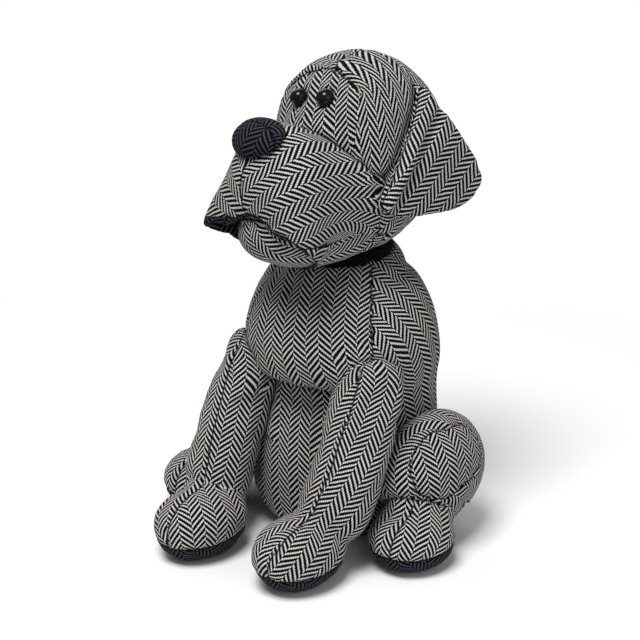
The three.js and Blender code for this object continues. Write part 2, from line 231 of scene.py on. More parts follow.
def cut_panels(obj, fields):
    """Labels each face by the signs of the fields at its middle, and returns the sorted labels.

    The points on a seam slide onto the field's zero line, so that the seam runs smooth."""
    mesh = obj.data
    points = points_of(mesh)
    normals = normals_of(mesh)
    faces = np.array([list(p.vertices) for p in mesh.polygons])
    for _ in range(SLIDES):
        middles = points[faces].mean(1)
        signs = np.array([field(middles) > 0 for field in fields]).T
        labels = [tuple(int(s) for s in row) for row in signs]
        for k, field in enumerate(fields):
            low = np.ones(len(points), bool)
            high = np.zeros(len(points), bool)
            np.logical_and.at(low, faces, signs[:, [k]])
            np.logical_or.at(high, faces, signs[:, [k]])
            on_seam = high & ~low
            points[on_seam] = onto_zero(points[on_seam], normals[on_seam], field)
    set_points(mesh, points)
    mark_seams(mesh, labels)
    panels = sorted(set(labels))
    tag = mesh.attributes.new("panel", "INT", "FACE")
    tag.data.foreach_set("value", [panels.index(label) for label in labels])
    return panels


def seam_points(mesh):
    return sorted({v for edge in mesh.edges if edge.use_seam for v in edge.vertices})


def split_off(obj, name, keep):
    """Moves the faces of one panel to a new object."""
    going = panel_numbers(obj.data) == keep
    other = new_object(name, obj.data.copy())
    for target, drop in ((obj, going), (other, ~going)):
        work = bmesh.new()
        work.from_mesh(target.data)
        work.faces.ensure_lookup_table()
        bmesh.ops.delete(work, geom=[work.faces[k] for k in np.nonzero(drop)[0]], context="FACES")
        work.to_mesh(target.data)
        work.free()
    return other


# Cloth with air in it. Fullness is how much larger than the form its panels are cut, and no point goes
# further than the cap from where it began.

CLOTH = {
    "quality": 5,
    "mass": 0.3,
    "tension_stiffness": 12,
    "compression_stiffness": 12,
    "shear_stiffness": 4,
    "bending_stiffness": 0.6,
    "use_pressure": True,
    "uniform_pressure_force": 4.0,
}
FULLNESS = 0.03
FRAMES = 20
CAP = 3.0


def add_cloth(obj, held):
    group = obj.vertex_groups.new(name="held")
    group.add([int(k) for k in held], 1.0, "REPLACE")
    cloth = obj.modifiers.new("cloth", "CLOTH")
    for name, value in CLOTH.items():
        setattr(cloth.settings, name, value)
    cloth.settings.vertex_group_mass = "held"
    cloth.settings.shrink_min = -FULLNESS
    cloth.settings.effector_weights.gravity = 0
    cloth.collision_settings.use_collision = False
    cloth.collision_settings.use_self_collision = False
    cloth.point_cache.frame_end = FRAMES


def simulate(objects):
    scene = bpy.context.scene
    before = {obj.name: points_of(obj.data) for obj in objects}
    for step in range(FRAMES):
        scene.frame_set(step + 1)
    for obj in objects:
        applied(obj)
        start = before[obj.name]
        move = points_of(obj.data) - start
        reach = np.linalg.norm(move, axis=1)[:, None]
        limit = CAP * np.tanh(reach / CAP)
        set_points(obj.data, start + move * limit / np.maximum(reach, 1e-9))
    scene.frame_set(1)


# Layout. A panel's grain is a direction, the place where the weave's columns follow it, and how far round
# that place they are fitted to it.


def unwrap(obj, grains, panels, joins):
    """Lays each panel flat, scaled to metres of cloth, with the weave's columns along the panel's grain."""
    bpy.ops.object.select_all(action="DESELECT")
    bpy.context.view_layer.objects.active = obj
    obj.select_set(True)
    obj.data.uv_layers.new(name="cloth")
    bpy.ops.object.mode_set(mode="EDIT")
    bpy.ops.mesh.select_all(action="SELECT")
    bpy.ops.uv.unwrap(method="MINIMUM_STRETCH", margin=0.001)
    bpy.ops.object.mode_set(mode="OBJECT")
    mesh = obj.data
    points = points_of(mesh)
    uvs = np.empty(len(mesh.loops) * 2)
    mesh.uv_layers["cloth"].data.foreach_get("uv", uvs)
    uvs = uvs.reshape(-1, 2)
    numbers = panel_numbers(mesh)
    for island in islands_of(mesh):
        lay_flat(mesh, points, uvs, island, *grains[panels[numbers[island[0]]]])
    for first, second, place in joins:
        join_weave(mesh, points, uvs, numbers, panels.index(first), panels.index(second), place)
    mesh.uv_layers["cloth"].data.foreach_set("uv", uvs.ravel())


def islands_of(mesh):
    """Groups of faces that no seam parts."""
    parent = list(range(len(mesh.polygons)))

    def root(k):
        while parent[k] != k:
            parent[k] = parent[parent[k]]
            k = parent[k]
        return k

    seams = {edge.key for edge in mesh.edges if edge.use_seam}
    first = {}
    for index, polygon in enumerate(mesh.polygons):
        for key in polygon.edge_keys:
            if key in seams:
                continue
            if key in first:
                parent[root(index)] = root(first[key])
            else:
                first[key] = index
    groups = {}
    for index in range(len(mesh.polygons)):
        groups.setdefault(root(index), []).append(index)
    return list(groups.values())


def lay_flat(mesh, points, uvs, island, direction, place, focus):
    direction = np.array(direction, float)
    place = np.array(place, float)
    total = np.zeros(2)
    solid_area = flat_area = 0.0
    nearest = (1e9, None)
    for index in island:
        polygon = mesh.polygons[index]
        corners = points[list(polygon.vertices)]
        flat = uvs[list(polygon.loop_indices)]
        a, b = corners[1] - corners[0], corners[-1] - corners[0]
        ua, ub = flat[1] - flat[0], flat[-1] - flat[0]
        area = np.linalg.norm(np.cross(a, b))
        if area < 1e-9:
            continue
        away = np.linalg.norm(corners.mean(0) - place)
        weight = math.exp(-((away / focus) ** 2)) + 1e-6
        solid_area += area * weight
        flat_area += abs(ua[0] * ub[1] - ua[1] * ub[0]) * weight
        parts = np.linalg.lstsq(np.stack([a, b], 1), direction, rcond=None)[0]
        total += area * weight * (ua * parts[0] + ub * parts[1])
        if away < nearest[0]:
            nearest = (away, flat.mean(0))
    scale = MM * math.sqrt(solid_area / max(flat_area, 1e-18))
    along = total / max(np.linalg.norm(total), 1e-12)
    turn = np.array([[along[1], -along[0]], [along[0], along[1]]])
    loops = [k for index in island for k in mesh.polygons[index].loop_indices]
    uvs[loops] = (uvs[loops] - nearest[1]) @ turn.T * scale


def join_weave(mesh, points, uvs, numbers, first, second, place):
    """Moves the second panel's layout so that at a place the weave runs on from the first panel."""
    loops = []
    at = []
    for number in (first, second):
        faces = np.nonzero(numbers == number)[0]
        part = np.array([k for f in faces for k in mesh.polygons[f].loop_indices])
        corners = points[[mesh.loops[int(k)].vertex_index for k in part]]
        at.append(uvs[part[np.linalg.norm(corners - place, axis=1).argmin()]])
        loops.append(part)
    uvs[loops[1]] += at[0] - at[1]


# Sewing: the groove of a seam, the gathers that run out from it, and the unevenness of the whole skin.

SEWN = {"groove": 0.7, "groove_wide": 1.3, "gather": 0.6, "gather_long": 8.0, "gather_size": 6.0}
GATHER_RISE = 2.5
SAG = {"deep": 0.5, "size": 22.0}
NO_SEAM_OR_SHADE = 99.0


def nearest_seam(points, held):
    """For each point the nearest of the seam's points, and how far off it is."""
    tree = KDTree(len(held))
    for k, index in enumerate(held):
        tree.insert(points[index], k)
    tree.balance()
    near = np.empty(len(points), int)
    distance = np.empty(len(points))
    for k, point in enumerate(points):
        _, near[k], distance[k] = tree.find(point)
    return near, distance


def sew(obj, seed, own=None, folds=None, unseen=None, shadow=None):
    """Draws the cloth in along its seams, and writes each point's distance from a seam for the shader.

    Own holds what a piece has otherwise than SEWN. Folds gives each point a step. Unseen says which seam
    points don't show. Shadow gives the distance from lines of painted shade, which the shader darkens
    as it does a seam."""
    way = {**SEWN, **(own or {})}
    mesh = obj.data
    points = points_of(mesh)
    normals = normals_of(mesh)
    held = seam_points(mesh)
    if unseen is not None:
        held = [k for k, hidden in zip(held, unseen(points[held])) if not hidden]
    offset = SAG["deep"] * noise_at(points, SAG["size"], seed)
    distance = np.full(len(points), NO_SEAM_OR_SHADE)
    if held:
        seam_noise = noise_at(points[held], way["gather_size"], seed + 1)
        near, distance = nearest_seam(points, held)
        rise = 1 - np.exp(-((distance / GATHER_RISE) ** 2))
        offset += way["gather"] * seam_noise[near] * rise * np.exp(-distance / way["gather_long"])
        offset -= way["groove"] * np.exp(-((distance / way["groove_wide"]) ** 2))
    moved = points + normals * offset[:, None]
    if folds is not None:
        moved += folds(points, normals, distance)
    set_points(mesh, moved)
    # Painted shade: the shadows' distances join the seam distance, so the shader paints them dark like a
    # seam.
    if shadow is not None:
        distance = np.minimum(distance, shadow(points))
    tag = mesh.attributes.new("seam", "FLOAT", "POINT")
    tag.data.foreach_set("value", distance)


TOUCH = {"least": 0.5, "left": 0.2}


def drawn_together(first, second, reach, where):
    """Moves the skins of two pieces that are sewn together towards each other, where little parts them."""
    moved = []
    for obj, other in ((first, second), (second, first)):
        points = points_of(obj.data)
        others = points_of(other.data)
        tree = tree_of(others, other.data)
        close = (points > others.min(0) - reach) & (points < others.max(0) + reach)
        for k in np.nonzero(close.all(1) & where(points))[0]:
            place, _, _, gap = tree.find_nearest(Vector(points[k]), reach)
            if place is None or gap < TOUCH["least"]:
                continue
            share = (1 - (gap / reach) ** 2) ** 2
            points[k] += (np.array(place) - points[k]) / gap * (gap / 2 - TOUCH["left"]) * share
        moved.append((obj, points))
    for obj, points in moved:
        set_points(obj.data, points)


# Materials


class Nodes:
    """The node tree of a material or world, built by short calls."""

    def __init__(self, owner):
        owner.use_nodes = True
        self.owner = owner
        self.tree = owner.node_tree
        self.tree.nodes.clear()

    def fill(self, socket, value):
        """Links a socket's value to it, or writes a plain value."""
        if isinstance(value, bpy.types.NodeSocket):
            self.tree.links.new(value, socket)
        else:
            socket.default_value = value

    def add(self, kind, inputs=None, **settings):
        node = self.tree.nodes.new(kind)
        for key, value in settings.items():
            setattr(node, key, value)
        for key, value in (inputs or {}).items():
            self.fill(node.inputs[key], value)
        return node

    def math(self, operation, *values):
        return self.add("ShaderNodeMath", dict(enumerate(values)), operation=operation).outputs[0]

    def plus(self, first, second):
        return self.math("ADD", first, second)

    def minus(self, first, second):
        return self.math("SUBTRACT", first, second)

    def times(self, first, second):
        return self.math("MULTIPLY", first, second)

    def noise(self, vector, scale, detail=2.0, roughness=0.5):
        inputs = {"Vector": vector, "Scale": scale, "Detail": detail, "Roughness": roughness}
        return self.add("ShaderNodeTexNoise", inputs).outputs["Fac"]

    def mix(self, factor, low, high):
        """A colour between two, each a socket or a plain red, green and blue."""
        node = self.add("ShaderNodeMix", data_type="RGBA")
        self.fill(node.inputs[0], factor)
        for k, colour in ((6, low), (7, high)):
            plain = not isinstance(colour, bpy.types.NodeSocket)
            self.fill(node.inputs[k], (*colour, 1.0) if plain else colour)
        return node.outputs[2]

    def step(self, value, low, high):
        """A smooth step from 0 at low to 1 at high."""
        inputs = {"Value": value, "From Min": low, "From Max": high}
        return self.add("ShaderNodeMapRange", inputs, interpolation_type="SMOOTHSTEP").outputs[0]

    def bump(self, height, strength, deep):
        inputs = {"Height": height, "Strength": strength, "Distance": deep}
        return self.add("ShaderNodeBump", inputs).outputs["Normal"]

    def finished(self, inputs, kind="ShaderNodeBsdfPrincipled"):
        """The material, with one shader as its surface."""
        shader = self.add(kind, inputs)
        self.add("ShaderNodeOutputMaterial", {"Surface": shader.outputs[0]})
        return self.owner


CREAM = (0.7, 0.675, 0.64)
NAVY = (0.0035, 0.004, 0.0065)
CHARCOAL = (0.07, 0.074, 0.092)
DARK = (0.0035, 0.004, 0.006)

# Weave: a column is 8 threads wide, and its twill lines repeat every 4 picks. A noise has a scale per metre,
# a detail and a roughness. The wobble's reach is in metres.
COLUMN = 7.4
COLUMN_THREADS = 8
PICK = 0.91
LINE_PICKS = 4
WOBBLE = {"scale": 160.0, "reach": 0.0006}
WHOLE_THREADS = 0.55
FRAY = (1300.0, 2.0, 0.6)
FRAY_REACH = 0.4
LINE_EDGE = (0.53, 0.71)
THREAD_EDGE = (0.28, 0.5)
SLUB = (420.0, 3.0, 0.65)
FLECK = (1500.0, 2.0, 0.7)
PATCH = (28.0, 3.0, 0.6)
WORN = {"edge": (0.3, 0.75), "share": 0.3, "tint": (0.72, 0.72, 0.72)}
WARM = {"edge": (0.55, 0.8), "share": 0.4, "tint": (1.1, 1.03, 0.92)}
DUSTY = {"edge": (0.5, 0.85), "share": 0.3, "tint": (3.0, 3.0, 3.0)}
GAP_DARK = 0.45
SHADE = {"least": 0.78, "patch": 0.3}
# How dark a seam line is painted, partly as painted shade in its groove, and the painted shade of hollows.
SEAM_LINE_AND_SHADE = {"edge": (0.25, 1.0), "share": 0.85, "wander": 0.8}
RELIEF = {"line": 0.7, "gap": -0.5, "fleck": 0.7, "strength": 0.5, "deep": 0.0004}
MATT = {"Roughness": 0.95, "Specular IOR Level": 0.03, "Sheen Weight": 0.01, "Sheen Roughness": 0.5}
# The collar is the same dark cloth as the nose, with its weave painted nearly flat and near-black as painted
# shade for the shadow it lies in under the head.
COLLAR_SHADED_CONTRAST = 0.12


def twill(n, uv):
    """Where the weave's light lines are, and the gaps between its threads, both 0 to 1."""
    wobble = n.times(n.minus(n.noise(uv, WOBBLE["scale"]), 0.5), WOBBLE["reach"])
    split = n.add("ShaderNodeSeparateXYZ", {"Vector": uv})
    column = n.math("DIVIDE", n.plus(split.outputs["X"], wobble), COLUMN * MM)
    picks = n.math("DIVIDE", n.minus(split.outputs["Y"], wobble), PICK * MM)
    index = n.math("FLOOR", column)
    odd = n.math("PINGPONG", index, 1.0)
    way = n.minus(n.times(odd, 2.0), 1.0)
    threads = n.times(n.minus(column, index), float(COLUMN_THREADS))
    # Part of the shift goes in whole threads, which makes the lines' edges step as woven ones do.
    whole = n.plus(n.math("FLOOR", threads), 0.5)
    stepped = n.plus(n.times(whole, WHOLE_THREADS), n.times(threads, 1 - WHOLE_THREADS))
    total = n.plus(picks, n.times(stepped, way))
    shifted = n.plus(total, n.times(odd, LINE_PICKS / 2))
    phase = n.math("FRACT", n.times(shifted, 1 / LINE_PICKS))
    ridge = n.math("ABSOLUTE", n.minus(n.times(phase, 2.0), 1.0))
    fray = n.times(n.minus(n.noise(uv, *FRAY), 0.5), FRAY_REACH)
    line = n.step(n.plus(ridge, fray), *LINE_EDGE)
    # Single threads show as cells across each line: warp in the light lines, weft in the dark.
    off_middle = [n.math("ABSOLUTE", n.minus(n.math("FRACT", k), 0.5)) for k in (threads, picks)]
    warp_gap, weft_gap = (n.step(off, *THREAD_EDGE) for off in off_middle)
    gap = n.plus(n.times(line, warp_gap), n.times(n.minus(1.0, line), weft_gap))
    return line, gap


def dyed(n, colour, plain, spots, look):
    """A colour that turns to a tint of the plain one where the noise is high."""
    share = n.times(n.step(spots, *look["edge"]), look["share"])
    return n.mix(share, colour, [c * t for c, t in zip(plain, look["tint"])])


def herringbone(name, light, dark, contrast=1.0):
    """Twill lines that turn back at each column, woven from light warp and dark weft."""
    n = Nodes(bpy.data.materials.new(name))
    uv = n.add("ShaderNodeUVMap", uv_map="cloth").outputs["UV"]
    object_place = n.add("ShaderNodeTexCoord").outputs["Object"]
    line, gap = twill(n, uv)
    slub = n.noise(uv, *SLUB)
    fleck = n.noise(uv, *FLECK)
    patch = n.noise(object_place, *PATCH)
    light_colour = dyed(n, dyed(n, light, light, slub, WORN), light, fleck, WARM)
    dark_colour = dyed(n, dark, dark, fleck, DUSTY)
    weave = n.mix(n.times(line, contrast), dark_colour, light_colour)
    weave = n.mix(n.times(gap, GAP_DARK), weave, dark)
    shade = n.plus(SHADE["least"], n.times(patch, SHADE["patch"]))
    weave = n.mix(n.minus(1.0, shade), weave, dark)
    # In a seam the cloth is painted dark: a dark seam line, partly painted shade in its groove. The hollows
    # that count as one get the same dark, as painted shade. Its edge wanders a little.
    seam = n.add("ShaderNodeAttribute", attribute_name="seam").outputs["Fac"]
    wander = n.plus(seam, n.times(n.minus(slub, 0.5), SEAM_LINE_AND_SHADE["wander"]))
    seam_line_and_shade = n.times(n.minus(1.0, n.step(wander, *SEAM_LINE_AND_SHADE["edge"])), SEAM_LINE_AND_SHADE["share"])
    weave = n.mix(seam_line_and_shade, weave, dark)
    height = n.plus(n.times(line, RELIEF["line"]), n.times(gap, RELIEF["gap"]))
    height = n.plus(height, n.times(fleck, RELIEF["fleck"]))
    bump = n.bump(height, RELIEF["strength"], RELIEF["deep"])
    return n.finished({"Base Color": weave, "Normal": bump, **MATT})


def bead_material():
    n = Nodes(bpy.data.materials.new("eye_bead"))
    place = n.add("ShaderNodeTexCoord").outputs["Object"]
    haze = n.noise(place, 900.0, 3.0, 0.6)
    rough = n.add("ShaderNodeMapRange", {"Value": haze, "To Min": 0.06, "To Max": 0.12}).outputs[0]
    colour = n.mix(haze, (0.003, 0.003, 0.004), (0.007, 0.007, 0.01))
    bump = n.bump(haze, 0.05, 0.0002)
    inputs = {"Base Color": colour, "Roughness": rough, "Specular IOR Level": 0.3, "Normal": bump}
    return n.finished(inputs)


def sacking_material():
    n = Nodes(bpy.data.materials.new("sacking"))
    place = n.add("ShaderNodeTexCoord").outputs["Object"]
    weave = n.add("ShaderNodeTexWave", {"Vector": place, "Scale": 900.0, "Distortion": 1.5}).outputs["Fac"]
    colour = n.mix(weave, (0.42, 0.38, 0.31), (0.52, 0.48, 0.4))
    inputs = {"Base Color": colour, "Roughness": 0.9, "Normal": n.bump(weave, 0.3, 0.0003)}
    return n.finished(inputs)


# Seams. A field keeps to its own part of a piece: elsewhere it is a plain positive number.

ELSEWHERE = 50.0


def only_where(inside, value):
    return np.where(inside, value, ELSEWHERE)


def plane(point, across):
    """A flat field through a point, that grows in a direction."""
    point = np.array(point, float)
    across = np.array(across, float)
    across = across / np.linalg.norm(across)
    return lambda p: (p - point) @ across


# Torso and collar: chest and belly in front, a panel over each flank, joined down the back, and dark cloth
# round the neck.
CHEST = {"edge": (41, -26), "run": (0.565, -0.825), "middle": 3, "belly": 97}
COLLAR = {"high": 171.0, "slope": 0.11}
COLLAR_PANEL = (0, 1, 1, 1)
TORSO_GRAINS = {
    COLLAR_PANEL: ((0, 0, -1), (25, -15, 172), 20),
    (1, 1, 1, 1): ((0.17, 0.12, -1), (10, -60, 125), 40),
    (1, 1, 0, 1): ((0.06, 0.04, -1), (3, -50, 70), 40),
    (1, 0, 1, 1): ((0.6, 0.37, -0.71), (51, -15, 143), 18),
    (1, 0, 1, 0): ((-0.6, 0.37, -0.71), (-46, -15, 143), 18),
}


def torso_piece():
    obj = remeshed("torso_cloth", ["torso", "neck_band"], *SKIN["torso"])
    chest_edge = np.array([CHEST["edge"][0] - CHEST["middle"], CHEST["edge"][1]])
    chest_side = np.array([CHEST["run"][1], -CHEST["run"][0]])

    def collar(p):
        return COLLAR["high"] + COLLAR["slope"] * p[:, 1] - p[:, 2]

    def front(p):
        aside = np.abs(p[:, 0] - CHEST["middle"])
        flat = np.stack([aside, p[:, 1]], 1) - chest_edge
        return only_where(collar(p) > 0, flat @ chest_side)

    def chest(p):
        return only_where((collar(p) > 0) & (front(p) > 0), p[:, 2] - CHEST["belly"])

    def left(p):
        return only_where(front(p) <= 0, p[:, 0] - CHEST["middle"])

    return obj, cut_panels(obj, [collar, front, chest, left]), TORSO_GRAINS


# Legs: a skin over each leg and its sole. The sole ends in a nearly level line.
SOLE = {"high": 13.5, "rise": 0.03}
SOLE_PANEL = (0, 1, 1)
PAW_MIDDLE = (36, -92)
FOOT_MIDDLE = (76, -34)


def leg_skin(side, place):
    nodes = [f"{side}_{place}_leg", f"{side}_{place}_sole"]
    return remeshed(f"{side}_{place}_leg_cloth", nodes, *SKIN["leg"])


def sole_field(middle):
    return lambda p: p[:, 2] - SOLE["high"] - SOLE["rise"] * (p[:, 1] - middle[1])


def sole_grain(middle, sign):
    return ((0, -1, 0), (sign * middle[0], middle[1], 0), 40)


# Front legs: an inner and an outer panel, joined down the front and the back. The seam runs straight down
# the front of the sleeve, and bends over to the middle of the paw. The right paw is drawn up at its ankle.
SLEEVE_SEAM = {"top": (45.0, 110.0), "lean": 4.5, "foot": (36.0, 20.0)}
ANKLE = ((-26, -88, 43), (0, 0.5, 0.87))
SLEEVE_GRAINS = {
    "left": {
        (1, 1, 1): ((-0.13, -0.57, -0.81), (62, -60, 86), 18),
        (1, 0, 1): ((-0.13, -0.43, -0.89), (43, -80, 61), 18),
    },
    "right": {
        (1, 1, 1): ((0.01, -0.37, -0.93), (-28, -63, 82), 18),
        (1, 0, 1): ((0.11, -0.46, -0.88), (-45, -75, 69), 18),
        (1, 1, 0): ((0.52, -0.4, -0.75), (-20, -110, 30), 18),
        (1, 0, 0): ((0.49, -0.35, -0.8), (-30, -120, 28), 18),
    },
}


def front_leg_piece(side, sign):
    obj = leg_skin(side, "front")
    sole = sole_field(PAW_MIDDLE)
    top = (sign * SLEEVE_SEAM["top"][0] + SLEEVE_SEAM["lean"], SLEEVE_SEAM["top"][1])
    foot = mirrored((*SLEEVE_SEAM["foot"], 0), sign)

    def seam(p):
        down = np.clip((top[1] - p[:, 2]) / (top[1] - foot[1]), 0, 1)
        return only_where(sole(p) > 0, p[:, 0] - (top[0] + (foot[0] - top[0]) * down ** 2))

    def ankle(p):
        return only_where((sole(p) > 0) & (side == "right"), plane(*ANKLE)(p))

    grains = {SOLE_PANEL: sole_grain(PAW_MIDDLE, sign), **SLEEVE_GRAINS[side]}
    return obj, cut_panels(obj, [sole, seam, ankle]), grains


# Hind legs: a seam arches over the thigh, goes straight back behind the hip, and runs down the middle of
# the foot. A fold parts thigh and foot.
FOOT_CREASE = ((80, -38, 42), (-0.28, 0.515, 0.81))
ARCH_SEAM = ((80, -18, 65), (0.87, -0.3, 0.39))
FOOT_SEAM = 79.5
HIP_BACK = -4
FOLD_END = {"place": (93, 0, 27), "size": 15, "times": 30}
HIND_GRAINS = {
    (1, 1, 1): ((0.31, -0.12, -0.94), (90, -16, 59), 18),
    (1, 0, 1): ((0.15, -0.44, -0.88), (74, -37, 61), 15),
    (1, 1, 0): ((0.41, -0.73, -0.55), (94, -43, 28), 15),
    (1, 0, 0): ((-0.16, -0.76, -0.63), (75, -56, 28), 15),
}


def mirrored_plane(place_and_way, sign):
    return plane(*(mirrored(vector, sign) for vector in place_and_way))


def foot_crease(sign):
    """The fold between thigh and foot: above it the field is positive."""
    return mirrored_plane(FOOT_CREASE, sign)


def hind_leg_piece(side, sign):
    obj = leg_skin(side, "hind")
    relax(obj.data, mirrored(FOLD_END["place"], sign), FOLD_END["size"], FOLD_END["times"])
    sole = sole_field(FOOT_MIDDLE)
    arch_seam = mirrored_plane(ARCH_SEAM, sign)

    def seam(p):
        p = np.stack([p[:, 0], np.minimum(p[:, 1], HIP_BACK), p[:, 2]], 1)
        return np.where(foot_crease(sign)(p) > 0, arch_seam(p), sign * p[:, 0] - FOOT_SEAM)

    fields = [
        sole,
        lambda p: only_where(sole(p) > 0, seam(p)),
        lambda p: only_where(sole(p) > 0, foot_crease(sign)(p)),
    ]
    grains = {SOLE_PANEL: sole_grain(FOOT_MIDDLE, sign)}
    for label, (direction, place, focus) in HIND_GRAINS.items():
        grains[label] = (mirrored(direction, sign), mirrored(place, sign), focus)
    return obj, cut_panels(obj, fields), grains


def tail_piece():
    obj = remeshed("tail_cloth", ["tail"], *SKIN["tail"])
    grains = {(1,): ((0, 1, 0), (0, 65, 20), 30), (0,): ((0, 1, 0), (0, 65, 4), 30)}
    return obj, cut_panels(obj, [plane((0, 60, 12), (0, 0, 1))]), grains


# Head: a face panel between the temples, two over the crown, two at the back, and the chin, whose cloth goes
# on into the mouth. These sizes are in the head's frame.
FOREHEAD = {"high": 51, "drop": 12, "wide": 31, "temple": 34, "back": 12}
BACK_OF_HEAD = -20
CROWN_SEAM = {"aside": 8, "front": 18, "back": -30}
CHIN = {"top": -36, "back": 20, "front": 44, "inside": -26}
FACE_PANEL = (1, 1, 1, 1, 1)
LEFT_CROWN_PANEL = (1, 1, 0, 1, 1)
DOWN = head_direction(0, 0, -1)
UNDER_CHIN = head_direction(0.57, -0.51, -0.64)
HEAD_GRAINS = {
    FACE_PANEL: ((0.24, -0.44, -0.87), (20, -23, 263), 18),
    LEFT_CROWN_PANEL: ((0.25, -0.23, -0.94), (38, -20, 255), 20),
    (1, 1, 0, 0, 1): (DOWN, head_point(-FOREHEAD["temple"], 29, 12), 22),
    (1, 1, 0, 1, 0): (DOWN, head_point(36, -36, 8), 22),
    (1, 1, 0, 0, 0): (DOWN, head_point(-36, -36, 8), 22),
    (0, 1, 1, 1, 1): (UNDER_CHIN, head_point(15, 75, -45), 25),
    (0, 0, 1, 1, 1): (UNDER_CHIN, head_point(0, 70, -22), 25),
}


def arch(h):
    """The height of the seam over the forehead."""
    return FOREHEAD["high"] - FOREHEAD["drop"] * (h[:, 0] / FOREHEAD["wide"]) ** 2


def head_piece():
    obj = remeshed("head_cloth", ["head"], *SKIN["head"])

    def chin(p):
        h = in_head(p)
        under = np.maximum(h[:, 2] - CHIN["top"], CHIN["back"] - h[:, 1])
        return np.minimum(under, CHIN["front"] - h[:, 1])

    def inside(p):
        return only_where(chin(p) <= 0, CHIN["inside"] - in_head(p)[:, 2])

    def face(p):
        h = in_head(p)
        between = np.minimum(FOREHEAD["temple"] - np.abs(h[:, 0]), arch(h) - h[:, 2])
        return only_where(chin(p) > 0, np.minimum(between, h[:, 1] - FOREHEAD["back"]))

    def left(p):
        h = in_head(p)
        along = np.clip((h[:, 1] - CROWN_SEAM["back"]) / (CROWN_SEAM["front"] - CROWN_SEAM["back"]), 0, 1)
        return only_where((chin(p) > 0) & (face(p) < 0), h[:, 0] - CROWN_SEAM["aside"] * along)

    def ahead(p):
        return only_where((chin(p) > 0) & (face(p) < 0), in_head(p)[:, 1] - BACK_OF_HEAD)

    return obj, cut_panels(obj, [chin, inside, face, left, ahead]), HEAD_GRAINS


# Muzzle: outside and lining part at the hem, a line over the lip with a notch in its middle. Outside, a
# seam runs down the middle, and one along each jowl.
MUZZLE_SEAM = 2
JOWL_SEAM = {"up": -43, "slope": 0.05, "from": 45}
LIP_EDGE = 2.0
HEM = {"place": (0, 87, -27.5), "normal": (0.124, -0.701, 0.7025), "edge": 1.7}
NOTCH = {"place": (0, 84, -34), "half": (17, 22, 12)}
HEM_END = {"place": (20, 72, -52), "size": 15, "times": 20}
LINING_PANEL = (0, 1, 1)
MUZZLE_GRAINS = {
    (1, 1, 1): ((-0.58, -0.81, -0.14), (24, -71, 223), 20),
    (1, 1, 0): ((-0.58, -0.81, -0.14), head_point(32, 62, -46), 20),
    (1, 0, 1): (head_direction(0, 1, 0.33), head_point(-38, 62, -5), 25),
    (1, 0, 0): (head_direction(0, 1, 0.1), head_point(-30, 62, -46), 25),
    LINING_PANEL: (head_direction(0, 1, 0), head_point(0, 70, -30), 25),
}


def muzzle_piece():
    obj = remeshed("muzzle_cloth", ["muzzle"], *SKIN["muzzle"])
    relax(obj.data, head_point(*HEM_END["place"]), HEM_END["size"], HEM_END["times"])
    lining = frame["nodes"]["jowl_lining"].data
    tree = tree_of([v.co / MM for v in lining.vertices], lining)

    def outside(p):
        h = in_head(p)
        above = (h - np.array(HEM["place"])) @ np.array(HEM["normal"]) - HEM["edge"]
        from_notch = np.linalg.norm((h - np.array(NOTCH["place"])) / np.array(NOTCH["half"]), axis=1)
        notch = (from_notch - 1) * NOTCH["half"][2]
        from_lining = np.array([tree.find_nearest(Vector(q))[3] for q in p]) - LIP_EDGE
        return np.minimum(np.minimum(above, notch - HEM["edge"]), from_lining)

    def left(p):
        return only_where(outside(p) > 0, in_head(p)[:, 0] + MUZZLE_SEAM)

    def upper(p):
        h = in_head(p)
        line = JOWL_SEAM["up"] + JOWL_SEAM["slope"] * (h[:, 1] - JOWL_SEAM["from"])
        return only_where(outside(p) > 0, h[:, 2] - line)

    return obj, cut_panels(obj, [outside, left, upper]), MUZZLE_GRAINS


def nose_piece():
    obj = remeshed("nose_cloth", ["nose"], *SKIN["nose"])
    front = plane(head_point(0, 74, 18), head_direction(0, -1, 0))
    grains = {
        (1,): (head_direction(0.2, 0, 1), head_point(0, 70, 18), 20),
        (0,): (head_direction(0.35, 0, 1), head_point(2, 90, 18), 20),
    }
    return obj, cut_panels(obj, [front]), grains


def ear_piece(side, sign):
    """An ear's two faces are joined round its rim, where a curved sheet through its middle comes out."""
    obj = remeshed(f"{side}_ear_cloth", [f"{side}_ear"], *SKIN["ear"])

    def terms(h):
        f, u = h[:, 1] / 30, h[:, 2] / 30
        return np.stack([np.ones(len(h)), f, u, f * f, f * u, u * u], 1)

    corners = in_head(points_of(obj.data))
    bend = np.linalg.lstsq(terms(corners), sign * corners[:, 0], rcond=None)[0]

    def face(p):
        h = in_head(p)
        return sign * h[:, 0] - terms(h) @ bend

    along = head_direction(0, 0.72, -0.69)
    grains = {
        (1,): (along, head_point(sign * 58, -20, -8), 30),
        (0,): (along, head_point(sign * 48, -20, -8), 30),
    }
    return obj, cut_panels(obj, [face]), grains


def base_piece():
    obj = remeshed("base_cloth", ["base_panel"], *SKIN["base"])
    grains = {(1,): ((0, -1, 0), (0, 0, 3), 40), (0,): ((0, -1, 0), (0, 0, 0), 40)}
    return obj, cut_panels(obj, [plane((0, 0, 1.5), (0, 0, 1))]), grains


def bag_piece():
    obj = remeshed("sand_bag_cloth", ["weight_bag"], *SKIN["bag"])
    grains = {(1,): ((0, 0, 1), (33, 0, 25), 40), (0,): ((0, 0, 1), (-33, 0, 25), 40)}
    return obj, cut_panels(obj, [plane((0, 0, 25), (1, 0, 0))]), grains


# Eyes: a round bead, a little fuller than the eye's solid, that stands proud of it.
BEAD = {"fullness": 1.16, "proud": 0.8}


